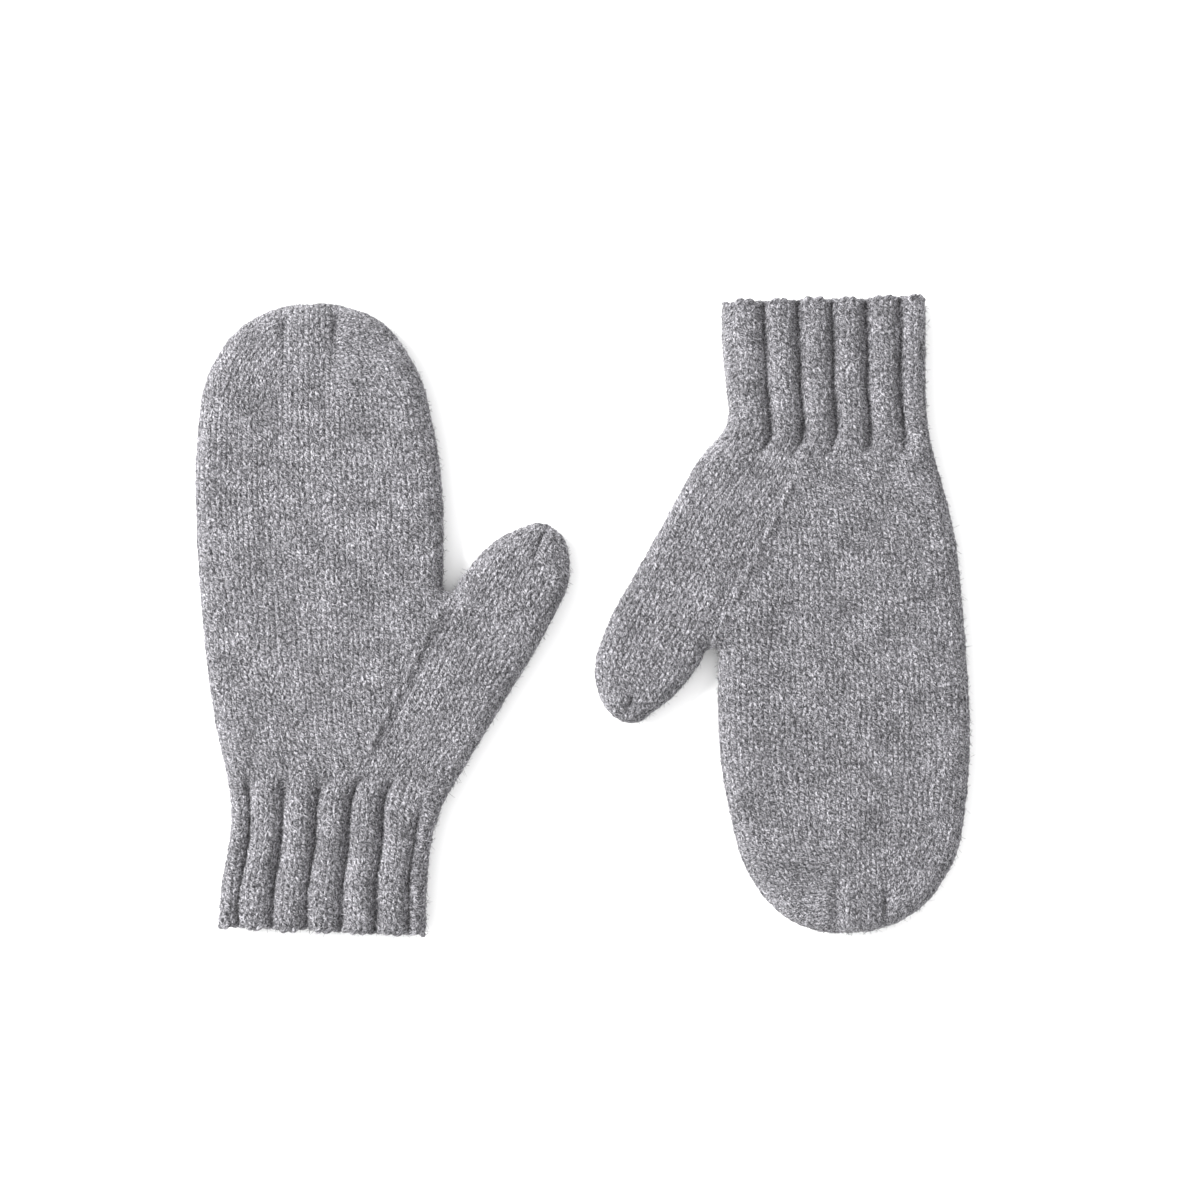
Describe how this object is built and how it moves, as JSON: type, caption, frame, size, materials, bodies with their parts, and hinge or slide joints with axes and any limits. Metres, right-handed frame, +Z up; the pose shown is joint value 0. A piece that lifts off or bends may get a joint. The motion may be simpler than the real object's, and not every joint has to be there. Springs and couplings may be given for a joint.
{
  "type": "knitted mittens",
  "caption": "Pair of closed knitted wool mittens lying flat, with long ribbed cuffs, thumb gussets and rounded fingertips.",
  "frame": {"origin": "centre of the pair's footprint, on the surface they lie on", "axes": "+X from the left mitten to the right one, across both hands; +Y from the left mitten's cuff to its fingertips; +Z up"},
  "size_m": [0.3259, 0.2682, 0.015],
  "materials": {
    "plain_knit": "soft brushed wool, light and dark grey fibres mixed, stockinette",
    "rib_knit": "soft brushed wool, light and dark grey fibres mixed, ribbed",
    "edge_knit": "soft brushed wool, light and dark grey fibres mixed, edge stitches"
  },
  "bodies": {
    "left_hand": {"left_hand_under": "plain_knit", "left_hand_top": "plain_knit", "left_gusset_under": "plain_knit", "left_gusset_top": "plain_knit"},
    "left_cuff": {"left_cast_on_edge": "edge_knit", "left_ribbed_cuff": "rib_knit"},
    "left_fingers": {"left_fingers_under": "plain_knit", "left_fingers_top": "plain_knit", "left_crown_panel_under": "plain_knit", "left_crown_panel_top": "plain_knit", "left_crown_outer_side": "plain_knit", "left_crown_thumb_side": "plain_knit", "left_crown_closing": "edge_knit"},
    "left_thumb": {"left_thumb_under": "plain_knit", "left_thumb_top": "plain_knit", "left_thumb_tip_under": "plain_knit", "left_thumb_tip_top": "plain_knit", "left_thumb_closing": "edge_knit"},
    "right_hand": {"right_hand_under": "plain_knit", "right_hand_top": "plain_knit", "right_gusset_under": "plain_knit", "right_gusset_top": "plain_knit"},
    "right_cuff": {"right_cast_on_edge": "edge_knit", "right_ribbed_cuff": "rib_knit"},
    "right_fingers": {"right_fingers_under": "plain_knit", "right_fingers_top": "plain_knit", "right_crown_panel_under": "plain_knit", "right_crown_panel_top": "plain_knit", "right_crown_outer_side": "plain_knit", "right_crown_thumb_side": "plain_knit", "right_crown_closing": "edge_knit"},
    "right_thumb": {"right_thumb_under": "plain_knit", "right_thumb_top": "plain_knit", "right_thumb_tip_under": "plain_knit", "right_thumb_tip_top": "plain_knit", "right_thumb_closing": "edge_knit"}
  },
  "joints": [
    {"name": "left_wrist_fold", "type": "hinge", "parent": "left_hand", "child": "left_cuff", "pos_m": [-0.1088, -0.0666, 0.015], "axis": [-1, 0, 0], "range_deg": [0, 60]},
    {"name": "left_finger_fold", "type": "hinge", "parent": "left_hand", "child": "left_fingers", "pos_m": [-0.1088, 0.0454, 0.015], "axis": [1, 0, 0], "range_deg": [0, 75]},
    {"name": "left_thumb_fold", "type": "hinge", "parent": "left_hand", "child": "left_thumb", "pos_m": [-0.05443, 0.01629, 0.015], "axis": [0.866, -0.5, 0], "range_deg": [0, 50]},
    {"name": "right_wrist_fold", "type": "hinge", "parent": "right_hand", "child": "right_cuff", "pos_m": [0.101, 0.0666, 0.015], "axis": [1, 0, 0], "range_deg": [0, 60]},
    {"name": "right_finger_fold", "type": "hinge", "parent": "right_hand", "child": "right_fingers", "pos_m": [0.101, -0.0454, 0.015], "axis": [-1, 0, 0], "range_deg": [0, 75]},
    {"name": "right_thumb_fold", "type": "hinge", "parent": "right_hand", "child": "right_thumb", "pos_m": [0.05283, -0.01829, 0.015], "axis": [-0.866, 0.5, 0], "range_deg": [0, 50]},
    {"name": "pair_slide", "type": "slide", "parent": "left_hand", "child": "right_hand", "axis": [1, 0, 0], "range_m": [0, 0.08]}
  ]
}
